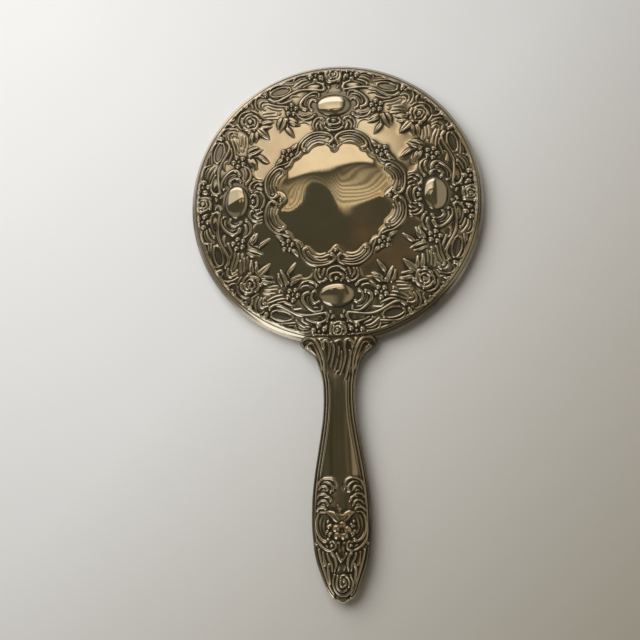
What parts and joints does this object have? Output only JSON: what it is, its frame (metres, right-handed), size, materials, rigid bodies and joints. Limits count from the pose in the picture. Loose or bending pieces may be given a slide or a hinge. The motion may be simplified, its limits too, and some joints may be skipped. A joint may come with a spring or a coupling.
{
  "type": "hand mirror",
  "caption": "Round dressing hand mirror with a domed stamped back, a rolled rim, bevelled glass in a front bezel and a hollow two-part handle.",
  "frame": {"origin": "on the plane the mirror lies on, glass down, under the middle of its overall box", "axes": "+Y from the handle's end to the head's far edge, +Z out of the ornamented back, +X to the right as the back is looked at with the handle towards the viewer"},
  "size_m": [0.13, 0.237, 0.011],
  "materials": {
    "back_silver": "antiqued silver plate, polished on the high spots and dark in the recesses",
    "rim_silver": "polished silver plate with fine wear",
    "bezel_silver": "polished silver plate",
    "silvered_glass": "clear mirror with a bevelled edge",
    "grey_card": "matte board",
    "brown_felt": "soft felt",
    "frame_brass": "dull raw brass",
    "tang_steel": "plain strip",
    "rivet_steel": "plain",
    "handle_silver": "antiqued silver plate",
    "filler_plaster": "cast composition"
  },
  "bodies": {
    "root": {"back_shell": "back_silver", "rim_band": "rim_silver", "front_bezel": "bezel_silver", "mirror_glass": "silvered_glass", "backing_card": "grey_card", "felt_pad": "brown_felt", "frame_ring": "frame_brass", "tang": "tang_steel", "tang_rivet_left": "rivet_steel", "tang_rivet_right": "rivet_steel", "handle_back": "handle_silver", "handle_front": "handle_silver", "handle_filler": "filler_plaster"}
  },
  "joints": []
}
